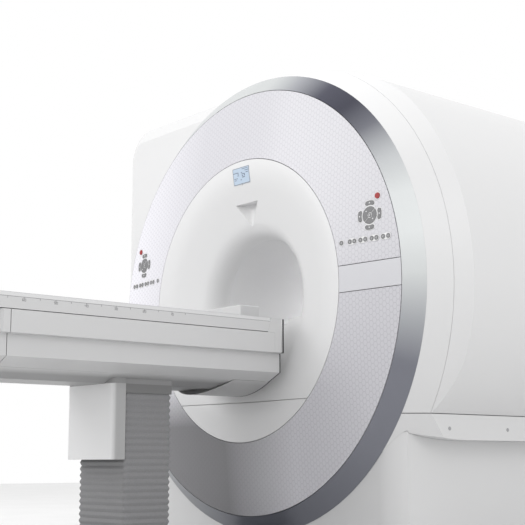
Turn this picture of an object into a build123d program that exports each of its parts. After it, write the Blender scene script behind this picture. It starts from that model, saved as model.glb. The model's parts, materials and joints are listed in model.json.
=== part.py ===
from build123d import *
from math import asin, atan, atan2, cos, degrees, hypot, radians, sin, sqrt, tan
import os

# MRI scanner with its patient table, in millimetres.
# Pieces are drawn in the bore's frame: X to the right seen from the front, Y into the bore from
# the front plane, Z up from the bore axis. The front plane holds the outer edge of the patterned
# ring. write() moves each piece to the floor frame, whose origin is below the isocentre.

# Length of the gantry
gantry_depth = 1900.0

# Clearances, and how far a cutting form runs past what it cuts
seam = 0.4
joint_line = 3.0
fine_line = 1.5
running_gap = 0.3
past = 50.0

# Bore and funnel
bore_radius = 300.0
throat_depth = 136.0
throat_round = 110.0
dish_slope = 0.32
dish_round = 400.0
rim_width = 72.0
rim_rise = 2.0
funnel_wall = 10.0
fill_depth = 30.0
ledge_level = -105.0
lower_cover_level = -477.0
lip_wall = 4.0
lip_height = 15.0
liner_wall = 6.0

# Patterned ring, bezel and collar
panel_wall = 6.0
ring_inner = 660.0
ring_inner_depth = -35.0
ring_width = 328.0
bezel_width = 78.3
bezel_depth = 64.2
bezel_wall = 10.0
collar_slope = 0.694
collar_depth = 154.7

# Body cross-section
cover_wall = 8.0
body_overhang = 110.7
corner_shift = 500.0
top_drop = 155.0
lower_centre_drop = 90.0
skirt_seam = 551.0
skirt_foot = 658.0
skirt_foot_round = 1350.0
skirt_foot_start = 386.0
skirt_nose_foot = 740.0
rear_cover_depth = 30.0
rear_opening = 520.0

# Plinth under the body, set in at its sides from the body's widest line
plinth_set_in = 275.0
plinth_front = 66.0
plinth_corner_depth = 40.0
plinth_corner_round = 200.0
plinth_lift = 3.0

# Housing on the left side
housing_front = 155.0
housing_left = -1200.0
housing_right = -290.0
housing_corner = 90.0
housing_band_depth = 45.0
housing_band_width = 76.0
housing_lift = 5.0

# Magnet and coils
magnet_gap = 227.0
magnet_clearance = 150.0
magnet_front = 190.0
magnet_rear_room = 230.0
magnet_chamfer = 60.0
coil_room = 36.4
gradient_wall = 103.6
gradient_inset = 60.0
body_coil_length = 460.0

# Cover frame between the magnet and the front covers
frame_ring_inset = 8.0
frame_ring_wall = 14.0
frame_flange_width = 160.0
frame_flange_wall = 8.0

# Floor feet and base frame
foot_inset = 190.0
foot_hole_x = 620.0
foot_hole_radius = 9.0
foot_height = 40.0
foot_length = 160.0
rail_inner_x = 440.0
rail_outer_x = 560.0
rail_inset = 70.0
foot_outer_x = 680.0
beam_height = 60.0
beam_width = 80.0

# Bore deck
deck_wall = 8.0
deck_play = 0.3

# Display on the funnel, turned to lie flat on the rounded crease of the dish
display_width = 121.0
display_height = 80.0
display_drop = 70.0
display_front = -32.0
display_thickness = 18.0
display_round = 6.0
display_tilt = 8.0

# Recess above the bore: half a cone, with its tip below and a flat ceiling above
recess_tip_drop = 308.0
recess_height = 110.0
recess_angle = 36.0
recess_lean = 10.0
recess_wall = 8.0

# Control panels on the patterned ring, with places counted from the middle of the key pad
panel_x = 827.0
panel_z = 267.0
pad_hub_radius = 66.0
disc_radius = 37.0
hub_ring_radius = 12.5
centre_key_radius = 8.5
arc_inner = 44.0
arc_tip = 52.0
arc_outer = 62.0
arc_end_angle = 20.0
arc_tip_angle = 28.0
disc_split = 4.0
stop_offset = (41.0, 77.0)
stop_radius = 12.5
stop_collar = 18.0
row_drop = 100.0
row_key_radius = 10.0
row_groups = ((-152.0,), (-106.0, -81.0), (-48.0, -22.0), (12.0, 37.0), (72.0, 99.0))
row_collar = 14.0
carrier_edge = 10.0
key_proud = 2.0
key_cap = 5.0
key_travel = 1.5
key_gap = 0.5
stop_travel = 3.0
stop_proud = 4.0
stem_radius = 3.0
stem_length = 14.0
guide_play = 0.05
carrier_wall = 18.0

# Name band on the right of the ring, left bare
band_low = -42.0
band_high = 69.0

# Patient table cross-section
table_half = 315.0
rail_top = -123.0
rail_bevel_level = -138.0
rail_bevel = 10.0
rail_foot = -184.0
rail_width = 30.0
side_foot = -273.0
tub_half = 288.0
tub_side_foot = -358.0
tub_seam_x = 216.0
tub_seam_level = -393.0
belly_half = 110.0
belly_level = -429.0
keel_level = -451.0
table_wall = 6.0

# Patient table along its length
table_head = -47.0
table_foot = -1415.0
cap_seam = -1377.0
beam_foot = -2260.0
head_cap_depth = 48.0
rail_head_top = -115.0
rail_head_foot = -135.0
head_chamfer = 12.0
belly_joint_top = -244.0
belly_joint_foot = -285.0
foot_chamfer = 10.0

# Tabletop and what carries it
top_half = 205.0
top_level = -105.0
top_edge = 6.0
top_flat_half = 120.0
top_thickness = 20.0
top_head = -60.0
slide_gap = 3.0
glide_x = 95.0
glide_width = 30.0
glide_thickness = 3.0
beam_deep = 72.0
beam_wall = 10.0
former_wall = 8.0
former_places = (-150.0, -480.0, -900.0, -1340.0)
socket_front = -198.0
socket_depth = 105.0
socket_half = 203.0
socket_top = -60.0
socket_chamfer = 3.0
pocket_places = (-120.0, -40.0, 40.0, 120.0)
pocket_width = 48.0
pocket_length = 30.0
pocket_depth = 25.0

# Pedestal, lift and bellows
lift_stroke = 340.0
pedestal_half = 178.0
pedestal_front = -838.0
pedestal_back = -776.0
pedestal_round = 24.0
pedestal_floor_gap = 25.0
bellows_half = 172.0
bellows_back = -544.0
bellows_head_depth = 37.0
bellows_count = 23
bellows_fold = 7.0
bellows_wall = 8.0
plate_height = 20.0
plate_half = 190.0
plate_front_edge = 12.0
plate_run_in = 140.0
riser_half = 60.0
column_y = -680.0
rod_half = 55.0
rod_round = 4.0
column_wall = 12.0
column_round = 10.0
rod_floor_gap = 30.0
rod_engaged = 170.0
belly_hole_half = 90.0
motor_radius = 28.0
motor_height = 200.0
motor_x = 112.0
motor_edge = 4.0
gearbox_half = 34.0
gearbox_height = 60.0
slide_motor_y = -1240.0
slide_gearbox_half = 60.0
slide_gearbox_length = 100.0
slide_gearbox_height = 70.0
slide_drum_radius = 30.0
slide_drum_length = 110.0

# Radii of the front, each counted on from the one inside it
dish_radius = ring_inner - rim_width
ring_outer = ring_inner + ring_width
bezel_radius = ring_outer + bezel_width
body_radius = bezel_radius + body_overhang
plinth_half_width = body_radius - plinth_set_in
corner_radius = body_radius - corner_shift
body_top = body_radius - top_drop
frame_ring_outer = ring_outer - frame_ring_inset
frame_flange_inner = frame_ring_outer - frame_flange_width
gradient_inner = bore_radius + coil_room
magnet_bore = gradient_inner + gradient_wall
magnet_radius = body_radius - magnet_gap

# Placing of the gantry: its origin lies on the floor below the magnet's middle
magnet_length = gantry_depth - magnet_front - magnet_rear_room
isocentre = magnet_front + magnet_length / 2
front_plane = -isocentre
axis_height = magnet_radius + magnet_clearance
floor = -axis_height

# Other sizes worked out from the ones above
dish_depth = ring_inner_depth - rim_rise
throat_corner = dish_depth + (dish_radius - bore_radius) * dish_slope
rear_throat = gantry_depth - throat_depth
body_rear = gantry_depth - rear_cover_depth
ring_slope = -ring_inner_depth / ring_width
upper_corner = (sqrt(corner_shift ** 2 - (body_top - corner_radius) ** 2), body_top - corner_radius)
lower_corner = (sqrt(corner_shift ** 2 - lower_centre_drop ** 2), -lower_centre_drop)
foot_spacing = magnet_length - 2 * foot_inset
channel_half = top_half + slide_gap
channel_floor = top_level - top_thickness - slide_gap
glide_top = top_level - top_thickness - running_gap
beam_top = glide_top - glide_thickness
beam_level = beam_top - beam_deep
rod_foot = lift_stroke + rod_floor_gap
column_top = rod_foot + rod_engaged


def write(name, shape):
    """Move a piece from the bore's frame to the floor frame and write its STEP file."""
    export_step(Pos(0, front_plane, axis_height) * shape, f"parts/{name}.step")


def outline(points):
    """Flat closed face through a list of points."""
    return make_face(Polyline(*points, close=True))


def turned(points):
    """Ring about the bore axis from (radius, depth) points."""
    return revolve(outline(points), Axis.Y)


def along(face, start, end):
    """Push a face drawn in (x, z) along the bore from one depth to another."""
    return extrude(Pos(0, start, 0) * (Plane.XZ * face), end - start, (0, 1, 0))


def block(x, y, z):
    """Box between pairs of limits."""
    centre = Pos((x[0] + x[1]) / 2, (y[0] + y[1]) / 2, (z[0] + z[1]) / 2)
    return centre * Box(x[1] - x[0], y[1] - y[0], z[1] - z[0])


def wall_points(points, wall):
    """Outline of a wall that follows an open run of points and lies on its left side."""
    normals = []
    for (x0, y0), (x1, y1) in zip(points, points[1:]):
        length = hypot(x1 - x0, y1 - y0)
        normals.append((-(y1 - y0) / length, (x1 - x0) / length))
    first = [normals[0]] + normals
    second = normals + [normals[-1]]
    back = []
    for (x, y), a, b in zip(points, first, second):
        scale = wall / (1 + a[0] * b[0] + a[1] * b[1])
        back.append((x + (a[0] + b[0]) * scale, y + (a[1] + b[1]) * scale))
    return list(points) + back[::-1]


def on_circle(centre, radius, angle):
    """Point on a circle at an angle in degrees."""
    return (centre[0] + radius * cos(radians(angle)), centre[1] + radius * sin(radians(angle)))


def arc(centre, radius, start, end):
    """Circular edge between two angles in degrees."""
    middle = (start + end) / 2
    return ThreePointArc(*(on_circle(centre, radius, angle) for angle in (start, middle, end)))


def mirrored(shape):
    """The same shape on the other side of the machine."""
    return mirror(shape, about=Plane.YZ)


# Body covers

def body_outline(grow, foot):
    """Body cross-section: flat top, round corners and sides, upright skirt down to foot."""
    upper_angle = degrees(atan2(upper_corner[1], upper_corner[0]))
    lower_angle = degrees(atan2(lower_corner[1], lower_corner[0]))
    corner = corner_radius + grow
    skirt_angle = -degrees(asin((skirt_seam - lower_centre_drop) / corner))
    skirt_x = on_circle(lower_corner, corner, skirt_angle)[0]
    upright = [(skirt_x, -skirt_seam)] if foot < -skirt_seam else []
    edges = [
        Line((0, body_top + grow), (upper_corner[0], body_top + grow)),
        arc(upper_corner, corner, 90, upper_angle),
        arc((0, 0), body_radius + grow, upper_angle, lower_angle),
        arc(lower_corner, corner, lower_angle, skirt_angle),
        Polyline(*upright, (skirt_x, foot), (0, foot), (0, body_top + grow)),
    ]
    half = make_face([edge for part in edges for edge in part.edges()])
    return half + mirrored(half)


def nose(grow):
    """All that lies inside the cone that runs back from the bezel to the body's full width."""
    start = bezel_depth - past
    end = bezel_depth + body_overhang / collar_slope + past
    shift = grow * hypot(1, collar_slope)
    radii = [bezel_radius + collar_slope * (depth - bezel_depth) + shift for depth in (start, end)]
    wide = radii[1] + past
    rear = gantry_depth + 2 * past
    return turned([(0, start), (radii[0], start), (radii[1], end), (wide, end), (wide, rear), (0, rear)])


def body_block(grow, foot, start, end):
    """Solid form of the body between two depths."""
    return along(body_outline(grow, foot), start, end) & nose(grow)


def hollow_body(start, end, foot=-skirt_seam):
    """Body cover between two depths, open at the front, the rear and the foot."""
    inside = body_block(-cover_wall, foot - past, start - past, end + past)
    return body_block(0, foot, start, end) - inside


def plinth_plan(grow):
    """Plinth seen from above: straight front, round front corners that end sharp at the sides."""
    corner_run = sqrt(plinth_corner_round ** 2 - (plinth_corner_round - plinth_corner_depth) ** 2)
    centre = (plinth_half_width - corner_run, plinth_front + plinth_corner_round)
    radius = plinth_corner_round + grow
    side = plinth_half_width + grow
    end_angle = -degrees(atan2(sqrt(radius ** 2 - (side - centre[0]) ** 2), side - centre[0]))
    corner_y = on_circle(centre, radius, end_angle)[1]
    rear = body_rear + grow
    edges = [
        Line((0, plinth_front - grow), (centre[0], plinth_front - grow)),
        arc(centre, radius, -90, end_angle),
        Polyline((side, corner_y), (side, rear), (0, rear), (0, plinth_front - grow)),
    ]
    half = make_face([edge for part in edges for edge in part.edges()])
    return half + mirrored(half)


def plinth_block(grow, low, high):
    """Solid form of the plinth between two levels."""
    return extrude(Pos(0, 0, low) * plinth_plan(grow), high - low)


def base_plate_block(grow):
    """Room that the table's floor plate takes where it runs in under the gantry."""
    return block((-plate_half - grow, plate_half + grow), (-past, magnet_front + plate_run_in + past),
                 (floor, floor + plate_height + grow))


def skirt_form(grow, start, end):
    """Body down to the skirt's foot, whose line rises in a long round towards the front."""
    foot = -skirt_foot - grow
    below = block((-body_radius - past, body_radius + past), (-past, skirt_foot_start),
                  (foot - past, foot + skirt_foot_round))
    round_foot = Pos(0, skirt_foot_start, foot + skirt_foot_round) * Rot(0, 90, 0) * Cylinder(
        skirt_foot_round, 3 * body_radius
    )
    return body_block(grow, foot, start, end) - (below - round_foot)


def side_skirts():
    """Skirts under the body seam, with a return to the plinth and a nose down beside the bezel."""
    top = -skirt_seam - joint_line
    start = bezel_depth + seam
    nose_end = plinth_front + plinth_corner_depth
    solid = skirt_form(0, start, body_rear) - skirt_form(-cover_wall, start - past, body_rear + past)
    nose_part = body_block(0, -skirt_nose_foot, start, nose_end)
    solid += nose_part & block((0, plinth_half_width), (0, nose_end), (-skirt_nose_foot, top))
    solid -= plinth_block(seam, -skirt_nose_foot - past, past)
    hidden = plinth_half_width - plinth_corner_round / 2
    right = solid & block((hidden, body_radius), (0, gantry_depth), (-skirt_nose_foot, top))
    return right, mirrored(right)


def plinth_covers():
    """Base covers on each side, met by the skirts above and beside."""
    low = floor + plinth_lift
    high = -skirt_seam - joint_line
    shell = plinth_block(0, low, high) - plinth_block(-cover_wall, low - past, high + past)
    shell -= skirt_form(seam, 0, body_rear + past)
    shell -= base_plate_block(seam)
    right = shell & block((seam / 2, plinth_half_width), (0, gantry_depth), (low, high))
    return right, mirrored(right)


def housing_form(inset):
    """Left housing as a solid: a flat front framed by a sloping band, then straight sides."""
    slope = atan(housing_band_depth / housing_band_width)
    front_inset = inset * tan(slope / 2)
    shoulder = housing_front + housing_band_depth + inset * tan((radians(90) - slope) / 2)
    low = floor - housing_band_width - housing_corner
    sections = []
    for depth, grow, radius in (
        (housing_front + inset, -front_inset, housing_corner - front_inset),
        (shoulder, housing_band_width - inset, housing_corner + housing_band_width - inset),
    ):
        width = housing_right - housing_left + 2 * grow
        height = body_top - low + 2 * grow
        face = Pos((housing_left + housing_right) / 2, (body_top + low) / 2) * RectangleRounded(
            width, height, radius
        )
        sections.append((depth, face))
    front = Pos(0, sections[0][0], 0) * (Plane.XZ * sections[0][1])
    back = Pos(0, sections[1][0], 0) * (Plane.XZ * sections[1][1])
    return loft([front, back]) + along(sections[1][1], shoulder, body_rear - inset)


def left_housing():
    """One-sided housing that stands against the body and reaches down to the floor."""
    shell = housing_form(0) - housing_form(cover_wall)
    shell -= body_block(seam, -skirt_seam, 0, gantry_depth)
    below = body_outline(seam, floor - past)
    shell -= along(below, 0, gantry_depth) & block(
        (-skirt_half() - seam, 0), (0, gantry_depth), (floor - past, -skirt_seam + 1)
    )
    left_side = housing_left - housing_band_width - past
    top = body_top + housing_band_width + past
    return shell & block((left_side, 0), (0, gantry_depth), (floor + housing_lift, top))


def skirt_half():
    """Half width of the body at the skirt."""
    return lower_corner[0] + sqrt(corner_radius ** 2 - (skirt_seam - lower_centre_drop) ** 2)


def rear_cover():
    """Rear closing cover with a round opening and a bevelled edge."""
    start = body_rear + seam
    solid = along(body_outline(0, -skirt_foot), start, gantry_depth)
    rim = solid.faces().sort_by(Axis.Y)[-1].edges()
    solid = chamfer(rim, cover_wall)
    solid -= along(body_outline(-2 * cover_wall, -skirt_foot + 2 * cover_wall), start - 1,
                   gantry_depth - cover_wall)
    return solid - turned([(0, start - 1), (rear_opening, start - 1), (rear_opening, gantry_depth + 1),
                           (0, gantry_depth + 1)])


# Front ring, bezel and funnel

def ring_depth(radius):
    """Depth of the patterned ring's face at a radius."""
    return ring_inner_depth + (radius - ring_inner) * ring_slope


def ring_shell():
    """Whole conical ring between the funnel and the bezel."""
    outer = ring_outer - joint_line / 2
    inner = ring_inner + joint_line / 2
    return turned(wall_points([(outer, ring_depth(outer)), (inner, ring_depth(inner))], -panel_wall))


def band_room(grow):
    """Room of the bare name band on the right of the ring."""
    return block((0, ring_outer + past), (-2 * past, 2 * past), (band_low - grow, band_high + grow))


def bezel_ring():
    """Sloping trim ring with a back flange that hangs on the cover frame."""
    inner = ring_outer + joint_line / 2
    slope = bezel_depth / bezel_width
    flange_front = bezel_depth - cover_wall
    flange_inner = frame_ring_outer + seam
    corner = inner + (flange_front - bezel_wall) / slope
    return turned([(inner, (inner - ring_outer) * slope), (bezel_radius, bezel_depth),
                   (flange_inner, bezel_depth), (flange_inner, flange_front), (corner, flange_front),
                   (inner, bezel_wall)])


def cover_frame():
    """Ring on the magnet's front face that carries the bezel and the ring panel."""
    inner = frame_ring_outer - frame_ring_wall
    back = panel_wall * hypot(1, ring_slope) + seam
    flange = magnet_front - frame_flange_wall
    ring = turned([
        (inner, ring_depth(inner) + back),
        (frame_ring_outer, ring_depth(frame_ring_outer) + back),
        (frame_ring_outer, magnet_front),
        (frame_flange_inner, magnet_front),
        (frame_flange_inner, flange),
        (inner, flange),
    ])
    low_part = block((-body_radius, body_radius), (bezel_depth, magnet_front + 1), (floor, -skirt_seam))
    return ring - low_part


def top_outline():
    """Cross-section of the tabletop, with slanted under-edges."""
    right = [(top_half, top_level), (top_half, top_level - top_edge),
             (top_flat_half, top_level - top_thickness)]
    return outline(right + [(-x, z) for x, z in reversed(right)])


def dish_front(radius):
    """Depth of the dish's straight part, carried on to any radius."""
    return dish_depth + (dish_radius - radius) * dish_slope


def funnel_shell(wall):
    """Rim, rounded crease, dish and round throat turned about the bore."""
    face = [
        (ring_inner - joint_line / 2, ring_inner_depth),
        (dish_radius, dish_depth),
        (bore_radius, throat_corner),
        (bore_radius, throat_depth),
    ]
    profile = outline(wall_points(face, -wall))
    for place, radius in (
        ((dish_radius, dish_depth), dish_round),
        ((dish_radius, dish_depth + wall), dish_round - wall),
        ((bore_radius, throat_corner), throat_round),
        ((bore_radius + wall, throat_corner + wall), throat_round - wall),
    ):
        corner = profile.vertices().sort_by_distance(place)[0]
        profile = fillet(corner, radius)
    return revolve(profile, Axis.Y)


def recess_cone(wall):
    """Half-cone of the recess above the bore; a wall gives the pocket that stands behind it."""
    tip = ring_inner - recess_tip_drop
    length = hypot(1, dish_slope)
    up = Vector(0, -dish_slope / length, 1 / length)
    front = Vector(0, -1 / length, -dish_slope / length)
    axis = up * cos(radians(recess_lean)) + front * sin(radians(recess_lean))
    origin = Vector(0, dish_front(tip), tip) - axis * (wall / sin(radians(recess_angle)))
    height = 2 * recess_height
    cone = Plane(origin=origin, z_dir=axis) * Cone(
        0, height * tan(radians(recess_angle)), height, align=(Align.CENTER, Align.CENTER, Align.MIN)
    )
    wide = 2 * recess_height
    return cone & block((-wide, wide), (-wide, wide), (tip - past, tip + recess_height + wall))


def recess_pocket():
    """Wall round the recess, kept behind the face of the dish."""
    tip = ring_inner - recess_tip_drop
    inner = tip + 1.5 * recess_wall
    outer = tip + recess_height + 3 * recess_wall
    sunk = funnel_wall / 3
    behind = turned([(outer, dish_front(outer) + sunk), (inner, dish_front(inner) + sunk),
                     (inner, throat_depth), (outer, throat_depth)])
    return recess_cone(recess_wall) & behind


def display_form(grow):
    """Display block, or the window that it sits in."""
    tilt = radians(display_tilt)
    plane = Plane(origin=(0, display_front, ring_inner - display_drop), x_dir=(1, 0, 0),
                  z_dir=(0, -cos(tilt), -sin(tilt)))
    face = RectangleRounded(display_width + 2 * grow, display_height + 2 * grow, display_round)
    room = 10 * grow
    return extrude(plane.offset(room) * face, -display_thickness - 2 * room)


def funnel_covers():
    """Upper funnel cover, and the lower cover whose lip stands behind the joint below the table."""
    wide = ring_inner + past
    low = lower_cover_level - joint_line / 2
    high = lower_cover_level + joint_line / 2
    shell = funnel_shell(funnel_wall)
    upper = shell & block((-wide, wide), (-2 * past, 4 * past), (high, wide))
    upper += recess_pocket()
    upper -= recess_cone(0)
    upper -= display_form(seam)
    lower = shell & block((-wide, wide), (-2 * past, 4 * past), (-wide, low))
    backing = funnel_shell(funnel_wall + seam + lip_wall)
    lip = backing - funnel_shell(funnel_wall + seam)
    lower += backing & block((-wide, wide), (-2 * past, 4 * past), (low - lip_height, low))
    lower += lip & block((-wide, wide), (-2 * past, 4 * past), (low - seam, high + lip_height))
    return upper, lower


def deck_sections(inset):
    """Cross-sections of the deck's two ledges and of the bed between them, drawn in by an inset."""
    radius = bore_radius - deck_play - inset
    disc = Circle(radius)
    ledge = disc & Pos(channel_half + inset + radius, ledge_level - inset - radius) * Rectangle(
        2 * radius, 2 * radius
    )
    bed = disc & Pos(0, channel_floor - inset - radius) * Rectangle(
        2 * (channel_half - seam - inset), 2 * radius
    )
    return ledge, mirrored(ledge), bed


def throat_fill():
    """Turned form that fills the flare of the throat up to the line of the dish."""
    length = hypot(1, dish_slope)
    radius = bore_radius + throat_round
    depth = dish_front(radius) + throat_round * length
    outer = radius - throat_round * dish_slope / length
    inner = -ledge_level - fill_depth
    profile = outline([(outer, dish_front(outer)), (inner, dish_front(inner)), (inner, throat_depth),
                       (outer, throat_depth)])
    return revolve(profile - Pos(radius, depth) * Circle(throat_round + running_gap), Axis.Y)


def bore_deck():
    """Rail bed along the bore: two ledges and a bed between them, each carried on into the throat."""
    start = throat_depth + seam
    end = rear_throat - seam
    solids = []
    for section, hollow in zip(deck_sections(0), deck_sections(deck_wall)):
        solids.append(along(section, start, end) - along(hollow, start - past, end + past))
    wide = bore_radius + throat_round
    bed_half = channel_half - seam
    fill = throat_fill()
    for x, level in (
        ((channel_half, wide), ledge_level),
        ((-wide, -channel_half), ledge_level),
        ((-bed_half, bed_half), channel_floor),
    ):
        solids.append(fill & block(x, (dish_front(wide), throat_depth), (-wide, level)))
    return Compound(children=solids)


def rear_funnel():
    """Plain flared ring from the bore to the rear cover."""
    rise = (rear_opening - bore_radius) * dish_slope
    face = [(bore_radius, rear_throat), (bore_radius, gantry_depth - rise),
            (rear_opening - seam, gantry_depth)]
    profile = outline(wall_points(face, -cover_wall))
    corner = profile.vertices().sort_by_distance((bore_radius, gantry_depth - rise))[0]
    profile = fillet(corner, rise)
    return revolve(profile, Axis.Y) & tube(bore_radius / 2, rear_opening - seam, 0, gantry_depth)


# Control panels

panel_radius = hypot(panel_x, panel_z)
lean = hypot(1, ring_slope)
panel_normal = Vector(ring_slope * panel_x / panel_radius / lean, -1 / lean,
                      ring_slope * panel_z / panel_radius / lean)


def panel_plane(x, z, lift=0.0):
    """Plane on the right-hand panel at (x, z), raised along the panel's normal."""
    flat = (x - panel_x) * panel_normal.X + (z - panel_z) * panel_normal.Z
    depth = ring_depth(panel_radius) - flat / panel_normal.Y
    across = Vector(1, 0, 0) - panel_normal * panel_normal.X
    return Plane(origin=Vector(x, depth, z) + panel_normal * lift, x_dir=across, z_dir=panel_normal)


def raised(sketch, x, z, low, high):
    """Solid on the panel over a sketch, between two heights along the normal."""
    return extrude(panel_plane(x, z, low) * sketch, high - low)


def row_outline(group, radius):
    """Round or oblong outline around one key or a pair of keys of the row."""
    width = group[-1] - group[0] + 2 * radius
    return SlotOverall(width, 2 * radius) if len(group) > 1 else Circle(radius)


def half_disc(upper):
    """Half of the direction disc, split by a diagonal gap, open round the centre."""
    side = disc_radius * 2
    shift = (side + disc_split) / 2
    cutter = Rot(0, 0, 45) * Pos(0, shift if upper else -shift) * Rectangle(2 * side, side)
    return (Circle(disc_radius) - Circle(hub_ring_radius)) & cutter


def arc_key(angle):
    """Curved key outside the disc, with ends that come to a point."""
    run = [(arc_inner, -arc_end_angle), (arc_tip, -arc_tip_angle), (arc_outer, -arc_end_angle)]
    ends = [on_circle((0, 0), radius, angle + turn) for radius, turn in run]
    starts = [on_circle((0, 0), radius, angle - turn) for radius, turn in reversed(run)]
    edges = [
        Polyline(*ends),
        arc((0, 0), arc_outer, angle - arc_end_angle, angle + arc_end_angle),
        Polyline(*starts),
        arc((0, 0), arc_inner, angle + arc_end_angle, angle - arc_end_angle),
    ]
    return make_face([edge for part in edges for edge in part.edges()])


def key_table():
    """Keys of one panel as (name, outline, x, z, stem offset, proud height, travel)."""
    arc_middle = (arc_inner + arc_outer) / 2
    disc_middle = (hub_ring_radius + disc_radius) / 2
    stop_x, stop_z = panel_x + stop_offset[0], panel_z + stop_offset[1]
    keys = [
        ("stop_button", Circle(stop_radius), stop_x, stop_z, (0, 0), stop_proud, stop_travel),
        ("centre_key", Circle(centre_key_radius), panel_x, panel_z, (0, 0), key_proud, key_travel),
    ]
    for name, angle in (("upper", 135), ("lower", -45)):
        stem = on_circle((0, 0), disc_middle, angle)
        keys.append((f"disc_key_{name}", half_disc(name == "upper"), panel_x, panel_z, stem, key_proud,
                     key_travel))
    for name, angle in (("up", 90), ("left", 180), ("down", -90), ("right", 0)):
        stem = on_circle((0, 0), arc_middle, angle)
        keys.append((f"arc_key_{name}", arc_key(angle), panel_x, panel_z, stem, key_proud, key_travel))
    return keys


def key_solid(sketch, x, z, stem, proud, play=0.0, sink=0.0):
    """Key cap with its guide stem; play and sink widen it into the pocket that holds it."""
    cap_outline = offset(sketch, play) if play else sketch
    foot = key_proud - key_cap
    cap = raised(cap_outline, x, z, foot - sink, proud + play)
    stem_circle = Pos(*stem) * Circle(stem_radius + (guide_play if play else 0))
    return cap + raised(stem_circle, x, z, foot - stem_length - sink, foot)


def panel_rooms(play):
    """Outlines where the carrier stands through the ring, as solids that pass right through."""
    low = -carrier_wall
    high = 0.0 if play == 0 else panel_wall
    rooms = [
        raised(Circle(pad_hub_radius + play), panel_x, panel_z, low, high),
        raised(Circle(stop_collar + play), panel_x + stop_offset[0], panel_z + stop_offset[1], low, high),
    ]
    for group in row_groups:
        middle = panel_x + (group[0] + group[-1]) / 2
        rooms.append(raised(row_outline(group, row_collar + play), middle, panel_z - row_drop, low, high))
    return rooms


def control_carrier():
    """Moulded carrier behind the ring: raised hubs, key pockets and the fixed caps of the key row."""
    back = -panel_wall - 3 * seam
    side = 2 * (pad_hub_radius + carrier_edge)
    row_middle = panel_x + (row_groups[0][0] + row_groups[-1][-1]) / 2
    row_level = panel_z - row_drop
    row_width = row_groups[-1][-1] - row_groups[0][0] + 2 * row_collar + carrier_edge / 2
    stop_side = 2 * stop_collar + carrier_edge / 2
    plate = raised(Rectangle(side, side + 2 * carrier_edge), panel_x, panel_z - carrier_edge,
                   -carrier_wall, back)
    plate += raised(Rectangle(row_width, 2 * row_collar + carrier_edge), row_middle, row_level,
                    -carrier_wall, back)
    plate += raised(Rectangle(stop_side, stop_side), panel_x + stop_offset[0], panel_z + stop_offset[1],
                    -carrier_wall, back)
    for hub in panel_rooms(0):
        plate += hub
    for group in row_groups:
        for x in group:
            plate += raised(Circle(row_key_radius), panel_x + x, row_level, 0, key_proud)
    for _, sketch, x, z, stem, proud, travel in key_table():
        plate -= key_solid(sketch, x, z, stem, proud, key_gap, travel + running_gap)
    return plate


def ring_panels():
    """Patterned ring with its panel openings, and the bare name band let into it."""
    ring = ring_shell()
    band = ring & band_room(0)
    panel = ring - band_room(joint_line)
    for room in panel_rooms(seam):
        panel -= room
        panel -= mirrored(room)
    return panel, band


# Patient table

tub_points = [(tub_half, side_foot - joint_line), (tub_half, tub_side_foot), (tub_seam_x, tub_seam_level)]
belly_edge = (belly_half, belly_level)
belly_slope = (tub_seam_level - belly_level) / (tub_seam_x - belly_half)


def table_outline(top):
    """Whole table cross-section under the rails, from a top level down to the belly."""
    right = [(table_half, top), (table_half, side_foot)] + tub_points + [belly_edge]
    return outline(right + [(-x, z) for x, z in reversed(right)])


def tub_outline(inset):
    """Inner cross-section of the tub, inside the side covers and the belly cover."""
    right = tub_points + [belly_edge, (0, belly_level)]
    inner = wall_points(right, -inset)[len(right):][::-1][:-1]
    return outline(inner + [(-x, z) for x, z in reversed(inner)])


def ruler_rail():
    """Accessory rail with a bevelled top edge and a slanted head end."""
    inner = table_half - rail_width
    section = outline([
        (table_half, rail_foot),
        (table_half, rail_bevel_level),
        (table_half - rail_bevel, rail_top),
        (inner, rail_top),
        (inner, rail_foot),
    ])
    rail = along(section, beam_foot, rail_head_top)
    return rail - slanted_head(0)


def slanted_head(grow):
    """Everything towards the gantry from the slanted line where the rails end."""
    side = outline([
        (rail_head_top - grow, rail_top + past),
        (rail_head_top - grow, rail_top),
        (rail_head_foot - grow, rail_foot),
        (rail_head_foot - grow, rail_foot - past),
        (2 * past, rail_foot - past),
        (2 * past, rail_top + past),
    ])
    half = table_half + past
    return extrude(Pos(-half, 0, 0) * (Plane.YZ * side), 2 * half, (1, 0, 0))


def side_cover():
    """Right-hand side cover: upright panel, step, upright tub side and bevel."""
    top = rail_foot - joint_line
    points = [(table_half, top), (table_half, side_foot)] + tub_points
    cover = along(outline(wall_points(points, -table_wall)), cap_seam + joint_line, table_head)
    head = table_head - head_cap_depth - seam
    return cover - block((0, table_half + 1), (head, 0), (side_foot - 1, top + 1))


def belly_joint(grow):
    """Everything towards the foot from the slanted joint near the head."""
    run = (belly_joint_foot - belly_joint_top) / (belly_level - tub_seam_level)
    high = tub_seam_level + past
    low = keel_level - past
    y_high = belly_joint_top + (high - tub_seam_level) * run - grow
    y_low = belly_joint_top + (low - tub_seam_level) * run - grow
    side = outline([(y_high, high), (y_low, low), (beam_foot, low), (beam_foot, high)])
    return extrude(Pos(-table_half, 0, 0) * (Plane.YZ * side), 2 * table_half, (1, 0, 0))


def belly_hole():
    """Square opening round the lift column, right through the belly and what is under it."""
    return block((-belly_hole_half, belly_hole_half),
                 (column_y - belly_hole_half, column_y + belly_hole_half),
                 (belly_level - past, belly_level + past))


def keel_block(inset, start, end):
    """Round-bottomed solid under the tub's seams, drawn in by an inset."""
    sag = tub_seam_level - keel_level
    radius = (tub_seam_x ** 2 + sag ** 2) / (2 * sag)
    top = tub_seam_level - fine_line / 2
    face = Pos(0, keel_level + radius) * Circle(radius - inset)
    face &= Pos(0, top - radius / 2) * Rectangle(2 * radius, radius)
    return along(face, start, end)


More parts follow.
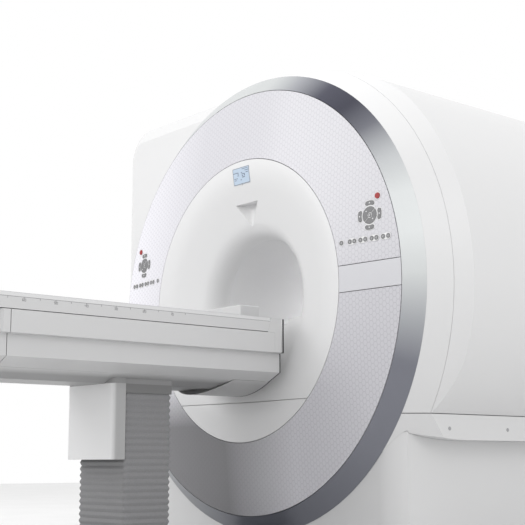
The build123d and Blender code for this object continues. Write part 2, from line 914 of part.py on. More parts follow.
def belly_covers():
    """Flat belly cover, and its deeper round head piece, closed at both ends."""
    start = (tub_seam_x - fine_line, tub_seam_level - fine_line * belly_slope)
    right = [start, belly_edge, (0, belly_level)]
    inner = wall_points(right, -table_wall)[len(right):]
    half = outline(right + inner)
    tray = along(half + mirrored(half), cap_seam + joint_line, belly_joint_top + past)
    foot_piece = (tray & belly_joint(joint_line)) - belly_hole()
    rear = belly_joint_foot - 2 * past
    head_piece = keel_block(0, rear, table_head) - keel_block(table_wall, rear - past, table_head + past)
    head_piece += keel_block(0, rear, table_head) & belly_joint(-table_wall)
    head_piece -= belly_joint(0)
    head_piece += along(tub_outline(table_wall + 2 * seam), table_head - former_wall, table_head)
    head_piece += keel_block(0, table_head - former_wall, table_head)
    return foot_piece, head_piece


def head_end_cap():
    """Cap across the table's head, low in the middle so that the tabletop passes over it."""
    start = table_head - head_cap_depth
    upper = outline([
        (table_half, rail_top), (table_half, side_foot), (-table_half, side_foot), (-table_half, rail_top),
        (-top_half - slide_gap - 2, rail_top), (-top_half - slide_gap - 2, beam_top),
        (top_half + slide_gap + 2, beam_top), (top_half + slide_gap + 2, rail_top),
    ])
    cap = along(upper, start, table_head)
    corners = cap.edges().filter_by(Axis.Z).group_by(Axis.Y)[-1]
    outer = [edge for edge in corners if abs(edge.center().X) > table_half - 1]
    cap = chamfer(outer, head_chamfer, 2 * head_chamfer)
    inner = table_half - rail_width
    for side in (1, -1):
        x = sorted((side * inner, side * table_half))
        tongue = block(x, (rail_head_foot - 20, start), (rail_foot - joint_line + seam, rail_top))
        cap += tongue & slanted_head(-seam)
    room = block((former_wall - inner, inner - former_wall), (start - 1, table_head - former_wall),
                 (side_foot + former_wall, beam_top - former_wall))
    return cap - room


def foot_end_cap():
    """Cap that closes the table body at its foot, with a bevelled edge."""
    top = rail_foot - joint_line
    cap = along(table_outline(top), table_foot, cap_seam)
    rim = cap.faces().sort_by(Axis.Y)[0].edges()
    low = [edge for edge in rim if edge.center().Z < top - 1 and edge.length > 2.5 * foot_chamfer]
    cap = chamfer(low, foot_chamfer)
    inner = table_half - 2 * former_wall
    inner_beam = table_half - rail_width + seam
    room = block((-inner, inner), (table_foot + former_wall, cap_seam + 1),
                 (side_foot + former_wall, beam_level))
    under_beam = block((-inner_beam, inner_beam), (table_foot - 1, cap_seam + 1),
                       (beam_level - seam, top + 1))
    return cap - room - under_beam


def table_frame():
    """Long hollow beam under the tabletop with the formers that carry the covers."""
    half = table_half - rail_width
    cell = (2 * half - 4 * beam_wall) / 3
    section = Pos(0, (beam_top + beam_level) / 2) * Rectangle(2 * half, beam_deep)
    for step in (-1, 0, 1):
        section -= Pos(step * (cell + beam_wall), (beam_top + beam_level) / 2) * RectangleRounded(
            cell, beam_deep - 2 * beam_wall, beam_wall / 2
        )
    head = table_head - head_cap_depth - seam
    frame = along(section, beam_foot, head)
    wide = table_half - table_wall - 2 * seam
    low = side_foot + table_wall + seam
    upper = outline([(wide, beam_level), (wide, low), (-wide, low), (-wide, beam_level)])
    for place in former_places:
        former = along(upper, place, place + former_wall)
        former += along(tub_outline(table_wall + 2 * seam), place, place + former_wall)
        waist = tub_half - 2 * table_wall
        former += block((-waist, waist), (place, place + former_wall),
                        (tub_side_foot + table_wall, beam_level))
        frame += former
    return frame


def tabletop():
    """Sliding patient board, thin at its edges."""
    return along(top_outline(), beam_foot, top_head)


def glide_strips():
    """Two low-friction strips between the beam and the tabletop."""
    strip = block((glide_x - glide_width / 2, glide_x + glide_width / 2),
                  (beam_foot, table_head - head_cap_depth - seam), (beam_top, glide_top))
    return strip + mirrored(strip)


def coil_socket():
    """Raised block at the tabletop's head end, with the coil sockets in its top."""
    solid = block((-socket_half, socket_half), (socket_front, socket_front + socket_depth),
                  (top_level, socket_top))
    solid = chamfer(solid.edges().group_by(Axis.Z)[-1], socket_chamfer)
    middle = socket_front + socket_depth / 2
    for x in pocket_places:
        solid -= block((x - pocket_width / 2, x + pocket_width / 2),
                       (middle - pocket_length / 2, middle + pocket_length / 2),
                       (socket_top - pocket_depth, socket_top + 1))
    return solid


# Pedestal and lift

def table_base_plate():
    """Floor plate under the lift that runs in to the gantry's base frame."""
    plate = block((-plate_half, plate_half),
                  (pedestal_front - plate_front_edge, magnet_front + plate_run_in),
                  (floor, floor + plate_height))
    riser_y = magnet_front + rail_inset + beam_width / 2
    riser = block((-riser_half, riser_half), (riser_y - riser_half / 2, riser_y + riser_half / 2),
                  (floor, floor + foot_height))
    return plate + riser


def table_column():
    """Fixed outer tube of the lift."""
    outer = rod_half + running_gap + column_wall
    inner = rod_half + running_gap
    section = RectangleRounded(2 * outer, 2 * outer, column_round)
    section -= RectangleRounded(2 * inner, 2 * inner, rod_round)
    return extrude(Pos(0, column_y, floor + plate_height) * section, column_top - plate_height)


def lift_rod():
    """Inner tube that carries the table on the lift."""
    section = RectangleRounded(2 * rod_half, 2 * rod_half, rod_round) - Circle(rod_half - column_wall)
    low = floor + rod_foot
    return extrude(Pos(0, column_y, low) * section, beam_level - low)


def lift_actuator():
    """Lift motor on the floor plate with its gearbox against the column."""
    low = floor + plate_height
    column_side = rod_half + running_gap + column_wall
    gearbox = block((column_side, motor_x + motor_radius),
                    (column_y - gearbox_half, column_y + gearbox_half), (low, low + gearbox_height))
    motor = extrude(Circle(motor_radius), motor_height - gearbox_height)
    motor = chamfer(motor.edges().group_by(Axis.Z)[-1], motor_edge)
    return gearbox + Pos(motor_x, column_y, low + gearbox_height) * motor


def pedestal_cover():
    """Shroud on the foot side of the lift, with the head that the bellows hangs from."""
    low = floor + lift_stroke + pedestal_floor_gap
    top = belly_level - seam
    depth = pedestal_back - pedestal_front
    plan = Pos(0, (pedestal_front + pedestal_back) / 2) * Rectangle(2 * pedestal_half, depth)
    plan = fillet(plan.vertices().group_by(Axis.Y)[0], pedestal_round)
    shell = extrude(Pos(0, 0, low) * plan, top - low)
    shell -= block((-pedestal_half + table_wall, pedestal_half - table_wall),
                   (pedestal_front + table_wall, pedestal_back + 1), (low - 1, top + 1))
    head = block((-bellows_half, bellows_half), (pedestal_front + table_wall, bellows_back),
                 (top - bellows_head_depth, top))
    return shell + head - belly_hole()


def table_bellows():
    """Pleated sleeve round the column, from the floor plate to the head under the belly."""
    low = floor + plate_height
    top = belly_level - seam - bellows_head_depth
    pitch = (top - low) / bellows_count
    depth = bellows_back - pedestal_back - 2 * seam
    middle = (bellows_back + pedestal_back) / 2
    taper = degrees(atan(bellows_fold / (pitch / 2)))
    narrow = Rectangle(2 * (bellows_half - bellows_fold), depth - 2 * bellows_fold)
    sleeve = None
    lower = extrude(narrow, pitch / 2, taper=-taper)
    pleat = lower + Pos(0, 0, pitch) * mirror(lower, about=Plane.XY)
    for step in range(bellows_count):
        fold = Pos(0, middle, low + step * pitch) * pleat
        sleeve = fold if sleeve is None else sleeve + fold
    inset = bellows_fold + bellows_wall
    room = Rectangle(2 * (bellows_half - inset), depth - 2 * inset)
    return sleeve - extrude(Pos(0, middle, low - 1) * room, top - low + 2)


def slide_motor():
    """Drive for the tabletop, hung under the beam near the foot."""
    gearbox = block((-slide_gearbox_half, slide_gearbox_half),
                    (slide_motor_y - slide_gearbox_length / 2, slide_motor_y + slide_gearbox_length / 2),
                    (beam_level - slide_gearbox_height, beam_level))
    place = Pos(slide_gearbox_half, slide_motor_y, beam_level - slide_gearbox_height / 2)
    return gearbox + place * Rot(0, 90, 0) * extrude(Circle(slide_drum_radius), slide_drum_length)


# Magnet, coils and base

def magnet_parts():
    """Magnet vessel, gradient coil, body coil and bore liner, one inside the next."""
    rear = magnet_front + magnet_length
    inner = magnet_bore + seam
    vessel = turned([
        (inner, magnet_front), (magnet_radius - magnet_chamfer, magnet_front),
        (magnet_radius, magnet_front + magnet_chamfer), (magnet_radius, rear - magnet_chamfer),
        (magnet_radius - magnet_chamfer, rear), (inner, rear),
    ])
    gradient = tube(gradient_inner, magnet_bore, magnet_front + gradient_inset, rear - gradient_inset)
    coil = tube(bore_radius + liner_wall + seam, gradient_inner - seam, isocentre - body_coil_length / 2,
                isocentre + body_coil_length / 2)
    liner = tube(bore_radius, bore_radius + liner_wall, throat_depth + seam, rear_throat - seam)
    return vessel, gradient, coil, liner


def tube(inner, outer, start, end):
    """Plain tube about the bore axis."""
    return turned([(inner, start), (outer, start), (outer, end), (inner, end)])


def base_frame():
    """Two saddle rails under the magnet, tied by two cross beams."""
    front = magnet_front + rail_inset
    rear = magnet_front + magnet_length - rail_inset
    low = floor + foot_height
    rail = block((rail_inner_x, rail_outer_x), (front, rear), (low, floor + axis_height / 2))
    frame = rail + mirrored(rail)
    for start in (front, rear - beam_width):
        frame += block((-rail_inner_x, rail_inner_x), (start, start + beam_width), (low, low + beam_height))
    cradle = magnet_radius + running_gap
    return frame - turned([(0, front - past), (cradle, front - past), (cradle, rear + past),
                           (0, rear + past)])


def floor_feet():
    """Four foot plates under the rails, each with an anchor hole beside the rail."""
    feet = []
    for x in (-1, 1):
        for y in (-1, 1):
            centre_y = isocentre + y * foot_spacing / 2
            ends = sorted((x * rail_inner_x, x * foot_outer_x))
            foot = block(ends, (centre_y - foot_length / 2, centre_y + foot_length / 2),
                         (floor, floor + foot_height))
            hole = Cylinder(foot_hole_radius, 2 * foot_height)
            feet.append(foot - Pos(x * foot_hole_x, centre_y, floor + foot_height / 2) * hole)
    return Compound(children=feet)


def write_pair(name, shape):
    """Write a right-hand piece and its mirror image."""
    write(f"{name}_right", shape)
    write(f"{name}_left", mirrored(shape))


def main():
    os.makedirs("parts", exist_ok=True)
    write("collar_cover", hollow_body(bezel_depth + seam, collar_depth))
    write("body_cover", hollow_body(collar_depth + fine_line, body_rear))
    skirt_right, skirt_left = side_skirts()
    write("side_skirt_right", skirt_right)
    write("side_skirt_left", skirt_left)
    plinth_right, plinth_left = plinth_covers()
    write("plinth_right", plinth_right)
    write("plinth_left", plinth_left)
    write("left_housing", left_housing())
    write("rear_cover", rear_cover())
    write("bezel_ring", bezel_ring())
    write("cover_frame", cover_frame())
    panel, band = ring_panels()
    write("ring_panel", panel)
    write("nameplate_panel", band)
    funnel, lower_funnel = funnel_covers()
    write("funnel_cover", funnel)
    write("funnel_lower_cover", lower_funnel)
    write("display_screen", display_form(0))
    write("bore_deck", bore_deck())
    write("rear_funnel", rear_funnel())
    write_pair("control_unit", control_carrier())
    for name, sketch, x, z, stem, proud, travel in key_table():
        write_pair(name, key_solid(sketch, x, z, stem, proud))
    vessel, gradient, coil, liner = magnet_parts()
    write("magnet_vessel", vessel)
    write("gradient_coil", gradient)
    write("body_coil", coil)
    write("bore_liner", liner)
    write("base_frame", base_frame())
    write("floor_feet", floor_feet())
    write_pair("side_cover", side_cover())
    write_pair("ruler_rail", ruler_rail())
    belly, belly_head = belly_covers()
    write("belly_cover", belly)
    write("belly_cover_head", belly_head)
    write("head_end_cap", head_end_cap())
    write("foot_end_cap", foot_end_cap())
    write("table_frame", table_frame())
    write("tabletop", tabletop())
    write("glide_strips", glide_strips())
    write("coil_socket", coil_socket())
    write("slide_motor", slide_motor())
    write("table_base_plate", table_base_plate())
    write("table_column", table_column())
    write("lift_rod", lift_rod())
    write("lift_actuator", lift_actuator())
    write("pedestal_cover", pedestal_cover())
    write("table_bellows", table_bellows())


main()
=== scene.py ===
import json
from math import cos, hypot, pi, radians, sin, sqrt

import bmesh
import bpy
from mathutils import Matrix, Vector


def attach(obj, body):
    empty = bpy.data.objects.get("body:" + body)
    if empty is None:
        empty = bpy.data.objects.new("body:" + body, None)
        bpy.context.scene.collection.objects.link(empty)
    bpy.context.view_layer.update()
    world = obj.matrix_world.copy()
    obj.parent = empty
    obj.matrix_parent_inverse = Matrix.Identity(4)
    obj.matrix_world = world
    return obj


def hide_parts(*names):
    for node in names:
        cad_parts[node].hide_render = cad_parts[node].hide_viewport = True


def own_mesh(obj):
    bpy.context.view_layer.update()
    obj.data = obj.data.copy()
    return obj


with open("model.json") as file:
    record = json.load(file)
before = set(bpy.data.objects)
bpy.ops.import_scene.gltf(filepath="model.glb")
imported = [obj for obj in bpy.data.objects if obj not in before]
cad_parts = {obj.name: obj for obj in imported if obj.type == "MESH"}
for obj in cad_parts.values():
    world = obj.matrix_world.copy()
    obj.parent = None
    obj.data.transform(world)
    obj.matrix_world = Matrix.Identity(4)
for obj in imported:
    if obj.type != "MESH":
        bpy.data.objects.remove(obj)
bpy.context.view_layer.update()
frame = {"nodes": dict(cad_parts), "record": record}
NODES = frame["nodes"]
RECORD = frame["record"]

# Placing of the bore's frame in the floor frame, in millimetres
AXIS_HEIGHT = 1100.0
FRONT_PLANE = -930.0

# Camera: place in metres, turn and tilt in degrees, focal length in pixels of a 525-pixel frame
CAMERA_AT = (4.1894, -4.3478, 0.354)
CAMERA_YAW = -49.991
CAMERA_PITCH = 9.686
CAMERA_ROLL = -0.083
CAMERA_FOCAL = 1169.3
PHOTO_SIZE = 525
SENSOR = 36.0

# Sides of the machine: direction along x, and word in the names
SIDES = ((1, "right"), (-1, "left"))

# Places and sizes of the parts that the pieces below sit on, in millimetres and degrees
RING_INNER = 660.0
RING_INNER_DEPTH = -35.0
RING_SLOPE = 35.0 / 328.0
PANEL = (827.0, 267.0)
DISC_RADIUS = 37.0
HUB_RING_RADIUS = 12.5
DISC_MIDDLE = (DISC_RADIUS + HUB_RING_RADIUS) / 2
CENTRE_KEY_RADIUS = 8.5
ARC_KEY = ((44.0, 20.0), (52.0, 28.0), (62.0, 20.0))
ARC_KEY_TURNS = {"right": 0, "up": 90, "left": 180, "down": 270}
DISC_KEY_TURNS = {"upper": 135, "lower": -45}
STOP_OFFSET = (41.0, 77.0)
STOP_RADIUS = 12.5
ROW_DROP = -100.0
ROW_KEY_RADIUS = 10.0
ROW_GROUPS = ((-152.0,), (-106.0, -81.0), (-48.0, -22.0), (12.0, 37.0), (72.0, 99.0))
KEY_PROUD = 2.0
DISPLAY = (0.0, -32.0, 590.0)
DISPLAY_TILT = 8.0
DISPLAY_FACE = (115.0, 74.0)
DISPLAY_EDGE_WIDTH = 2.0
TABLE_HALF = 315.0
TABLE_HEAD = -47.0
RAIL_EDGE = -138.0
RAIL_ENDS = (-2254.0, -122.0)
PEDESTAL_CORNER = (154.0, -814.0)
PEDESTAL_ROUND = 24.0
PEDESTAL_LEVELS = (-735.0, -429.4)
PEDESTAL_BACK = -776.0
HEAD_HALF = 172.0
HEAD_BACK = -544.0
BELLY_HALF = 110.0
BELLY_SLOPE = 36.0 / 106.0

# Prints and marks: heights over the surface, gap and reach of the outlines, and shapes, in millimetres
PRINT = (-0.3, 0.4)
THIN_PRINT = (-0.2, 0.3)
DISPLAY_EDGE = (-0.2, 0.4)
MARK = (KEY_PROUD - 0.2, KEY_PROUD + 0.3)
ROW_MARK = (KEY_PROUD + 0.3, KEY_PROUD + 0.6)
ROW_SKIN = (0.2, KEY_PROUD + 0.4)
ROW_SKIN_WALL = 0.3
OUTLINE_GAP = 0.8
OUTLINE_REACH = 3.4
ARC_OUTLINE_REACH = 3.2
STOP_OUTLINE_REACH = 4.0
SPLIT_WIDTH = 2.4
SPLIT_SHORTENED = 1.0
ARROW = ((4, 0), (-3, 4.5), (-3, -4.5))
DOT_RADIUS = 3.0
RING_MARK = (2.6, 4.6)
ROW_STROKES = (((0.0, 0.5), 6.0, 2.0, 35), ((1.0, -3.5), 3.5, 1.6, 0))

# Bars on the display: middle, width and height of each, in millimetres
DISPLAY_BARS = (
    ((30, 31), 44, 2.4), ((42, 22), 26, 3), ((-42, 17), 30, 3), ((43, 12), 18, 3), ((-22, 13), 5, 12),
    ((-22, 3), 11, 3), ((4, 14), 10, 3), ((12, 8), 17, 3), ((9, 0), 6, 7), ((24, 3), 6, 12),
    ((16, -8), 19, 4), ((-3, -19), 6, 5), ((-40, -9), 26, 2.4), ((-44, -17), 15, 2.4),
)

# Ruler: first tick, pitch and count, then levels under the rail's edge and sizes, in millimetres
RULE_START = -582.0
RULE_PITCH = 67.5
RULE_TICKS = 25
RULE_LINE_LEVEL = -1.0
RULE_LINE_WIDTH = 1.4
RULE_TICK_LEVEL = -5.0
RULE_TICK_SIZE = (1.6, 8.0)
RULE_FIGURE_LEVEL = -12.0
RULE_FIGURE_SIZE = (5.6, 8.0)
RULE_FIGURE_STROKE = 1.3
RULE_FIGURE_PITCH = 9.0

# Near-black strip of painted shadow round the table's head end: the cap's outline on one side, from the top
# down to its curved foot
SHADOW_STRIP_SIDE = ((312.0, -124.0), (312.0, -273.3), (288.4, -273.3), (288.4, -358.2), (216.4, -393.2))
SHADOW_STRIP_SAG = 58.2
SHADOW_STRIP_STEPS = 24
SHADOW_STRIP_WIDTH = 3.0
SHADOW_STRIP_THICKNESS = 6.0

# Bellows: fold shape as (share of the pitch, share of the fold's depth), the rest in millimetres
BELLOWS_LOW = 20.0 - AXIS_HEIGHT
BELLOWS_TOP = -466.7
BELLOWS_MIDDLE = -660.0
BELLOWS_HALF = (172.0, 115.6)
BELLOWS_FOLD = 5.0
BELLOWS_FOLD_SHAPE = ((0.0, 1.0), (0.38, 0.14), (0.5, 0.0), (0.62, 0.14))
BELLOWS_WALL = 8.0
BELLOWS_COUNT = 23
BELLOWS_ROUND = 10.0

# Pieces at the pedestal: gap and depth behind its faces, sink under its top, start beside the belly's middle
TRIM_GAP = 0.4
TRIM_WALL = 5.0
TRIM_SINK = 1.0
TRIM_INSET = 4.0

# Screw caps on the skirts, and a distance from the middle that lies clear of them, in millimetres
SCREW_PLACES = (266.0, 640.0, 1014.0, 1388.0)
SCREW_LEVEL = -612.0
SCREW_RADIUS = 8.0
SCREW_HEIGHTS = (-0.3, 1.2)
BESIDE_SKIRT = 1400.0

# Surfaces: axis numbers, texture scales, the net's cell in metres and line, crease angle in degrees.
# The ring's painted light, lighter towards the left, is given as (share of the way across, ground's factor,
# lines' factor), and its corner of painted shade ends at a place in metres, over a width, across and up.
ALONG, UP = 1, 2
CLOUD_SCALE = 2.3
PEBBLE_SCALE = 420.0
CELL = (0.0176, 0.025)
CELL_LINE = 0.11
RING_PAINTED_LIGHT = ((0.0, 1.66, 1.6), (0.35, 1.18, 1.25), (1.0, 1.0, 1.0))
RING_SHADE_ACROSS = (0.36, 0.48)
RING_SHADE_UP = (0.74, 0.22)
RING_SHADE_DEPTH = 0.90
RING_SHADE_TONE = 0.22
CREASE_ANGLE = 28

# Area lights: name, place, target and size in metres, and power; then the floor's reach in metres
LIGHTS = (
    ("key", (-3.5, -6.5, 4.0), (0, -1.0, 1.1), (3.5, 3.0), 110),
    ("side", (6.0, -3.0, 4.5), (0, 0, 1.1), (4.0, 3.0), 50),
    ("top", (0.0, -1.0, 5.5), (0, 0, 1.0), (5.0, 5.0), 60),
    ("bore", (0.0, 0.75, 1.12), (-0.2, -0.8, 1.2), (0.38, 0.38), 9.5),
)
FLOOR_REACH = 14.0


def at(x, y, z):
    """Point given in the bore's frame in millimetres, as a place in the floor frame in metres."""
    return Vector((x, y + FRONT_PLANE, z + AXIS_HEIGHT)) / 1000.0


# Shader helpers

class Shader:
    """A node material with one principled shader and short calls for its nodes."""

    def __init__(self, name, rough=0.4, metal=0.0, coat=0.0, coat_rough=0.1):
        self.material = bpy.data.materials.new(name)
        self.material.use_nodes = True
        self.tree = self.material.node_tree
        self.main = self.tree.nodes["Principled BSDF"]
        self.main.inputs["Roughness"].default_value = rough
        self.main.inputs["Metallic"].default_value = metal
        self.main.inputs["Coat Weight"].default_value = coat
        self.main.inputs["Coat Roughness"].default_value = coat_rough
        self.coords = None
        self.place = None

    def node(self, kind, **values):
        """New node with values for its inputs, by their names, or for its own settings."""
        made = self.tree.nodes.new(kind)
        for key, value in values.items():
            if key in made.inputs.keys():
                made.inputs[key].default_value = value
            else:
                setattr(made, key, value)
        return made

    def link(self, a, b):
        self.tree.links.new(a, b)

    def put(self, value, socket):
        """Links an output to a socket, or sets the socket to a number."""
        if isinstance(value, (int, float)):
            socket.default_value = value
        else:
            self.link(value, socket)

    def math(self, operation, a, b=0.0, c=0.0):
        """Result of a sum whose terms are outputs or numbers."""
        made = self.node("ShaderNodeMath", operation=operation)
        for value, socket in zip((a, b, c), made.inputs):
            self.put(value, socket)
        return made.outputs[0]

    def axes(self):
        """Object coordinates as three outputs, in metres."""
        if self.place is None:
            coords = self.node("ShaderNodeTexCoord")
            split = self.node("ShaderNodeSeparateXYZ")
            self.link(coords.outputs["Object"], split.inputs[0])
            self.coords = coords.outputs["Object"]
            self.place = split.outputs
        return self.place

    def noise(self, scale, detail=3.0, rough=0.5):
        """Noise over the object's coordinates."""
        self.axes()
        made = self.node("ShaderNodeTexNoise", Scale=scale, Detail=detail, Roughness=rough)
        self.link(self.coords, made.inputs["Vector"])
        return made.outputs["Fac"]

    def fade(self, output, end, width):
        """1 at low values of an output, falling over a width to 0 at the end value."""
        made = self.node("ShaderNodeClamp")
        self.link(self.math("DIVIDE", self.math("SUBTRACT", end, output), width), made.inputs[0])
        return made.outputs[0]

    def ramp(self, factor, stops):
        """Colour that runs through stops of (share, colour)."""
        made = self.node("ShaderNodeValToRGB")
        elements = made.color_ramp.elements
        while len(elements) < len(stops):
            elements.new(0.5)
        for element, (spot, colour) in zip(elements, stops):
            element.position = spot
            element.color = (*colour, 1.0)
        self.put(factor, made.inputs[0])
        return made.outputs[0]

    def mix(self, factor, a, b):
        """Blend of two colours, each an output or three numbers."""
        made = self.node("ShaderNodeMix", data_type="RGBA")
        self.put(factor, made.inputs["Factor"])
        for value, socket in ((a, made.inputs[6]), (b, made.inputs[7])):
            if isinstance(value, tuple):
                socket.default_value = (*value, 1.0)
            else:
                self.link(value, socket)
        return made.outputs[2]

    def colour(self, output):
        self.put(output, self.main.inputs["Base Color"])

    def bump(self, height, strength=0.1, distance=0.001):
        made = self.node("ShaderNodeBump", Strength=strength, Distance=distance)
        self.put(height, made.inputs["Height"])
        self.link(made.outputs["Normal"], self.main.inputs["Normal"])

    def roughness(self, output):
        self.put(output, self.main.inputs["Roughness"])

    def mottle(self, factor, colour, darker, lighter):
        """Colours the surface between a darker and a lighter tone of one colour."""
        self.colour(self.ramp(factor, [(0.3, shade(colour, darker)), (0.7, shade(colour, lighter))]))

    def satin(self, rough):
        """Fine pebble in the surface and an uneven gloss."""
        self.bump(self.noise(PEBBLE_SCALE, 2.0), 0.05, 0.0002)
        self.roughness(self.math("ADD", self.math("MULTIPLY", self.noise(9.0), 0.06), rough - 0.03))


def shade(colour, amount):
    """A colour made lighter or darker by a factor."""
    return tuple(min(1.0, channel * amount) for channel in colour)


def moulded(name, colour, rough=0.38, coat=0.25):
    """Satin moulded plastic with a faint cloudy tone."""
    shader = Shader(name, rough=rough, coat=coat, coat_rough=0.18)
    shader.mottle(shader.noise(CLOUD_SCALE, 2.0), colour, 0.98, 1.02)
    shader.satin(rough)
    return shader.material


def hexagons(shader, wide, tall, line):
    """1 on the lines of a net of flat-topped hexagons drawn over x and z, 0 inside the cells."""
    x, _, z = shader.axes()
    calc = shader.math
    root = sqrt(3)
    u = calc("DIVIDE", x, wide * 2 / root)
    v = calc("DIVIDE", z, tall)
    near = []
    for shift in (0.0, 0.5):
        a = calc("SUBTRACT", calc("FLOORED_MODULO", calc("ADD", u, shift * root), root), root / 2)
        b = calc("SUBTRACT", calc("FLOORED_MODULO", calc("ADD", v, shift), 1.0), 0.5)
        near.append((a, b, calc("ADD", calc("MULTIPLY", a, a), calc("MULTIPLY", b, b))))
    (a0, b0, length0), (a1, b1, length1) = near
    pick = calc("LESS_THAN", length1, length0)
    a = calc("ABSOLUTE", calc("ADD", a0, calc("MULTIPLY", pick, calc("SUBTRACT", a1, a0))))
    b = calc("ABSOLUTE", calc("ADD", b0, calc("MULTIPLY", pick, calc("SUBTRACT", b1, b0))))
    slanted = calc("ADD", calc("MULTIPLY", a, root / 2), calc("MULTIPLY", b, 0.5))
    edge = calc("SUBTRACT", 0.5, calc("MAXIMUM", slanted, b))
    inside = calc("MAXIMUM", calc("SUBTRACT", 1.0, calc("DIVIDE", edge, line)), 0.0)
    return calc("SMOOTH_MIN", inside, 1.0, 0.1)


def patterned(name, light, dark):
    """Printed hexagon net over a pale lavender ground, with painted light towards the left and painted shade
    at the lower left, where the table shades it.
    """
    shader = Shader(name, rough=0.34, coat=0.35, coat_rough=0.15)
    calc = shader.math
    net = hexagons(shader, *CELL, CELL_LINE)
    x, _, z = shader.axes()
    across = calc("ADD", calc("MULTIPLY", x, 0.5), 0.5)
    # Painted light: the ground and the lines are lighter towards the left side.
    ground = shader.ramp(across, [(place, shade(light, factor)) for place, factor, _ in RING_PAINTED_LIGHT])
    lines = shader.ramp(across, [(place, shade(dark, factor)) for place, _, factor in RING_PAINTED_LIGHT])
    cloud = shader.mix(calc("MULTIPLY", shader.noise(1.7, 2.0), 0.08), ground, light)
    # Painted shade at the lower left, where the table shades the ring.
    corner = calc("MULTIPLY", shader.fade(x, *RING_SHADE_ACROSS), shader.fade(z, *RING_SHADE_UP))
    shaded = calc("MULTIPLY", corner, RING_SHADE_DEPTH)
    shader.colour(shader.mix(shaded, shader.mix(net, cloud, lines), shade(dark, RING_SHADE_TONE)))
    shader.bump(net, 0.15, -0.0003)
    return shader.material


def dull(name, colour, rough=0.6, grain=260.0, spread=0.08, strength=0.15):
    """Matt plastic, rubber or paint with visible grain."""
    shader = Shader(name, rough=rough)
    grains = shader.noise(grain, 4.0)
    shader.mottle(grains, colour, 1 - spread, 1 + spread)
    shader.bump(grains, strength, 0.0003)
    return shader.material


def fine_paint(name, colour):
    """Fine-grained matt paint, for prints and small plugs."""
    return dull(name, colour, 0.5, 700.0, 0.05, 0.03)


def brushed(name, colour):
    """Metal with fine level lines from grinding."""
    shader = Shader(name, rough=0.35, metal=1.0)
    shader.axes()
    mapping = shader.node("ShaderNodeMapping")
    mapping.inputs["Scale"].default_value = (4.0, 4.0, 300.0)
    shader.link(shader.coords, mapping.inputs["Vector"])
    lines = shader.node("ShaderNodeTexNoise", Scale=8.0, Detail=4.0)
    shader.link(mapping.outputs[0], lines.inputs["Vector"])
    shader.mottle(lines.outputs["Fac"], colour, 0.9, 1.08)
    shader.bump(lines.outputs["Fac"], 0.08, 0.0002)
    return shader.material


def painted_shading(name, axis, stops, rough=0.42):
    """Satin moulded plastic with painted light and shade: its grey changes along one axis, with stops as
    (place in metres, grey).
    """
    shader = Shader(name, rough=rough, coat=0.2, coat_rough=0.2)
    low, high = stops[0][0], stops[-1][0]
    share = shader.math("DIVIDE", shader.math("SUBTRACT", shader.axes()[axis], low), high - low)
    tone = shader.ramp(share, [((place - low) / (high - low), (grey, grey, grey * 1.005))
                               for place, grey in stops])
    cloud = shader.math("MULTIPLY", shader.noise(CLOUD_SCALE, 2.0), 0.06)
    shader.colour(shader.mix(cloud, tone, (0.72, 0.72, 0.72)))
    shader.satin(rough)
    return shader.material


def round_painted_shading(name, stops):
    """Metallic lacquer with painted light and shade: its tone changes with the angle round the bore, with
    stops in degrees.
    """
    shader = Shader(name, rough=0.42, metal=0.9, coat=0.05, coat_rough=0.3)
    x, _, z = shader.axes()
    angle = shader.math("ARCTAN2", shader.math("SUBTRACT", z, AXIS_HEIGHT / 1000), x)
    share = shader.math("ADD", shader.math("DIVIDE", angle, 2 * pi), 0.5)
    tone = shader.ramp(share, [(degree / 360 + 0.5, (grey, grey * 1.03, grey * 1.03 + blue))
                               for degree, grey, blue in stops])
    flake = shader.noise(900.0, 1.0)
    shader.colour(shader.mix(shader.math("MULTIPLY", flake, 0.05), tone, (0.9, 0.9, 0.95)))
    shader.bump(flake, 0.03, 0.0001)
    return shader.material


# Painted shade: the white covers and the funnel are darker towards the floor, and the covers a little darker
# again at the top.
WHITE = painted_shading("white_cover", UP, [(0.0, 0.60), (0.5, 0.62), (1.1, 0.68), (1.7, 0.69), (2.2, 0.68)], 0.38)
FUNNEL_WHITE = painted_shading("funnel_white", UP, [(0.4, 0.63), (0.8, 0.68), (1.8, 0.69)])
LINER = moulded("liner_grey", (0.66, 0.66, 0.665), rough=0.45)
# Painted shade: the table's cover is darker towards the bottom, darkest on the belly's underside.
TABLE_WHITE = painted_shading("table_cover", UP, [
    (0.60, 0.21), (0.69, 0.235), (0.706, 0.50), (0.741, 0.55), (0.744, 0.54), (0.83, 0.56), (1.0, 0.57),
])
BOARD = moulded("board_laminate", (0.62, 0.62, 0.625), rough=0.35)
# Painted shade: the pedestal is lightest on its front face, darker on its side and darkest further back, at
# its head.
PEDESTAL = painted_shading("pedestal_cover", ALONG, [
    (-1.77, 0.74), (-1.764, 0.68), (-1.75, 0.34), (-1.7065, 0.34), (-1.7055, 0.14), (-1.4, 0.14),
])
# Painted shade: the belly's head piece darkens towards the bottom.
BELLY_HEAD = painted_shading("belly_head", UP, [(0.60, 0.34), (0.69, 0.38), (0.706, 0.47)])
# Painted shade: the plinths are a little darker at their front.
PLINTH = painted_shading("plinth_cover", ALONG, [(-0.87, 0.58), (-0.80, 0.62), (0.9, 0.62)])
# Painted light towards the left and painted shade at the lower left, also on the control panels that share
# this material.
RING = patterned("patterned_ring", (0.51, 0.505, 0.535), (0.40, 0.395, 0.425))
BAND = moulded("band_panel", (0.55, 0.55, 0.575), rough=0.36)
